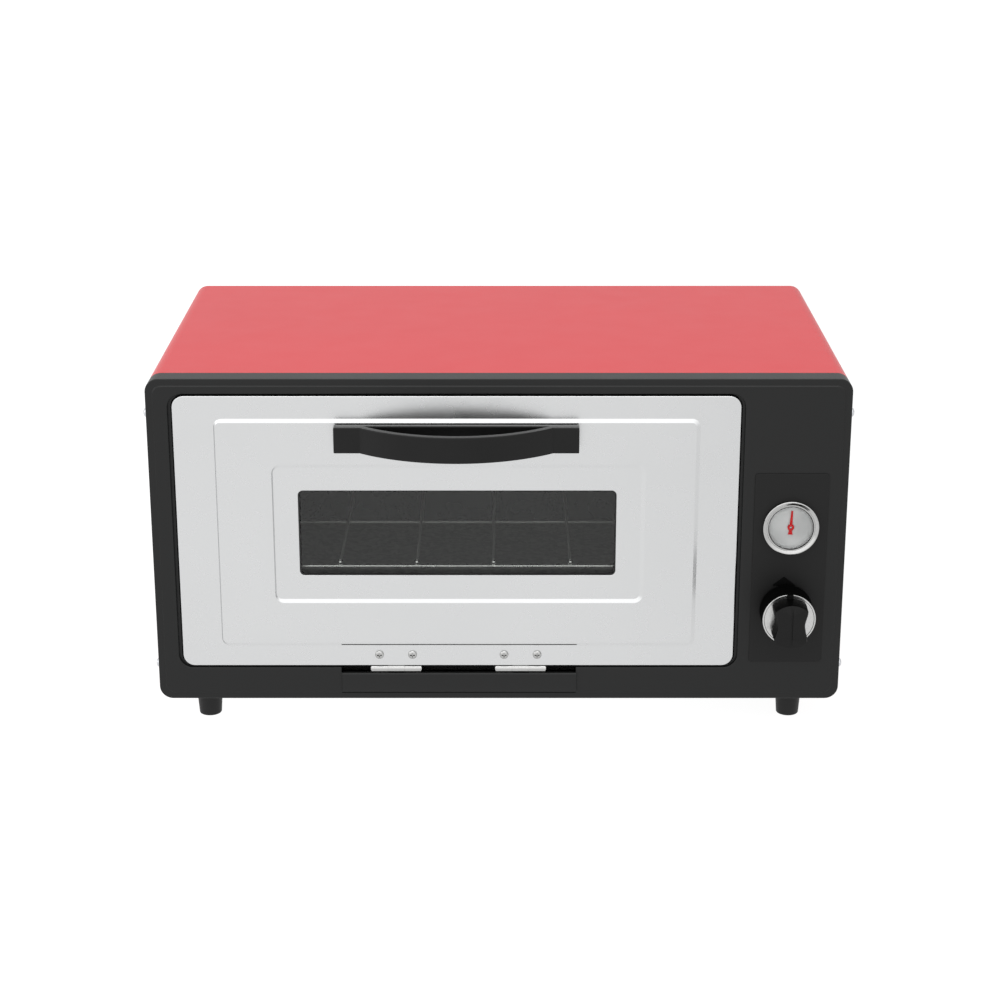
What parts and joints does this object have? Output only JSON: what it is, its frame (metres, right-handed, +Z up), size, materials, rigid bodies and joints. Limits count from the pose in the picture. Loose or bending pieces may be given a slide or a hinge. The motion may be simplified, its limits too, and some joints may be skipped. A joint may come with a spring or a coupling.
{
  "type": "countertop pizza oven",
  "caption": "Low wide countertop gas oven: red wrapper, black front, drop-down steel door with window and bowed handle, knob and thermometer on the right, wire rack inside.",
  "frame": {"origin": "on the table, under the middle of the oven's overall box", "axes": "+X to the right seen from the front, +Y from the door to the back, +Z up"},
  "size_m": [0.626, 0.427, 0.331],
  "materials": {
    "red_powder_coat": "smooth semi-gloss powder coat",
    "black_powder_coat": "satin powder coat",
    "satin_black": "satin black printed plate",
    "stainless_steel": "fine satin stainless",
    "aluminised_steel": "dull aluminised sheet",
    "galvanised_steel": "galvanised sheet",
    "zinc_plated_steel": "bright zinc plate",
    "polished_steel": "polished steel",
    "chrome_trim": "satin chrome",
    "chromed_wire": "chromed wire",
    "spring_steel": "spring wire",
    "burner_steel": "heat-dulled steel",
    "black_enamel": "vitreous enamel",
    "ferrite": "ceramic magnet",
    "silicone_rubber": "black silicone",
    "black_rubber": "moulded rubber",
    "black_phenolic": "moulded heat-proof plastic",
    "window_glass": "clear tempered glass",
    "gauge_glass": "clear flat glass",
    "dial_grey": "matt silver-grey dial",
    "needle_red": "red enamel",
    "brass": "machined brass",
    "copper": "soft copper tube",
    "ceramic_wool": "ceramic wool slab"
  },
  "bodies": {
    "cabinet": {"outer_wrapper": "red_powder_coat", "front_frame": "black_powder_coat", "base_panel": "black_powder_coat", "back_panel": "black_powder_coat", "hinge_strip": "black_powder_coat", "valve_bracket": "galvanised_steel", "burner_bracket": "galvanised_steel", "thermometer_clip": "galvanised_steel", "magnet_catch": "ferrite", "back_panel_screws": "zinc_plated_steel", "side_screws": "zinc_plated_steel", "foot_screws": "zinc_plated_steel", "hinge_strip_screws": "zinc_plated_steel", "hinge_pins": "polished_steel", "left_hinge_frame_leaf": "polished_steel", "right_hinge_frame_leaf": "polished_steel", "cavity_liner": "black_enamel", "flame_deflector": "aluminised_steel", "left_rack_runner": "chromed_wire", "right_rack_runner": "chromed_wire", "burner_tube": "burner_steel", "gas_injector": "brass", "gas_valve": "brass", "gas_inlet_nipple": "brass", "gas_supply_pipe": "copper", "valve_outlet_pipe": "copper", "thermometer_case": "chrome_trim", "thermometer_bezel": "chrome_trim", "thermometer_dial": "dial_grey", "thermometer_lens": "gauge_glass", "capillary_tube": "copper", "sensor_bulb": "copper", "control_plate": "satin_black", "knob_mark": "black_phenolic", "spindle_spring": "spring_steel", "top_insulation": "ceramic_wool", "left_insulation": "ceramic_wool", "right_insulation": "ceramic_wool", "back_insulation": "ceramic_wool", "front_left_foot": "black_rubber", "front_right_foot": "black_rubber", "rear_left_foot": "black_rubber", "rear_right_foot": "black_rubber"},
    "door": {"door_outer_panel": "stainless_steel", "door_inner_panel": "aluminised_steel", "window_gasket": "silicone_rubber", "window_glass": "window_glass", "glass_retainers": "aluminised_steel", "door_hinge_screws": "polished_steel", "door_handle": "black_phenolic", "handle_screws": "zinc_plated_steel", "left_hinge_door_leaf": "polished_steel", "right_hinge_door_leaf": "polished_steel"},
    "rack": {"rack_frame": "chromed_wire", "rack_wires": "chromed_wire"},
    "push_collar": {"spring_collar": "polished_steel"},
    "knob": {"control_knob": "black_phenolic", "knob_ring": "chrome_trim", "valve_spindle": "polished_steel"},
    "needle": {"thermometer_needle": "needle_red"}
  },
  "joints": [
    {"name": "door_hinge", "type": "hinge", "parent": "cabinet", "child": "door", "pos_m": [-0.0371, -0.1612, 0.0574], "axis": [1, 0, 0], "range_deg": [0, 90]},
    {"name": "rack_slide", "type": "slide", "parent": "cabinet", "child": "rack", "axis": [0, -1, 0], "range_m": [0, 0.1]},
    {"name": "knob_push", "type": "slide", "parent": "cabinet", "child": "push_collar", "axis": [0, 1, 0], "range_m": [0, 0.0035], "stiffness_N_per_m": 400, "springref_m": -0.004, "deforming": ["spindle_spring"]},
    {"name": "knob_turn", "type": "hinge", "parent": "push_collar", "child": "knob", "pos_m": [0.2583, -0.1782, 0.1178], "axis": [0, -1, 0], "range_deg": [0, 210]},
    {"name": "needle_turn", "type": "hinge", "parent": "cabinet", "child": "needle", "pos_m": [0.26, -0.1656, 0.195], "axis": [0, 1, 0], "range_deg": [0, 270], "stiffness_Nm_per_rad": 0.00005}
  ],
  "couplings": [
    {"joint": "rack_slide", "follows": "door_hinge", "m_per_rad": 0.0636}
  ]
}
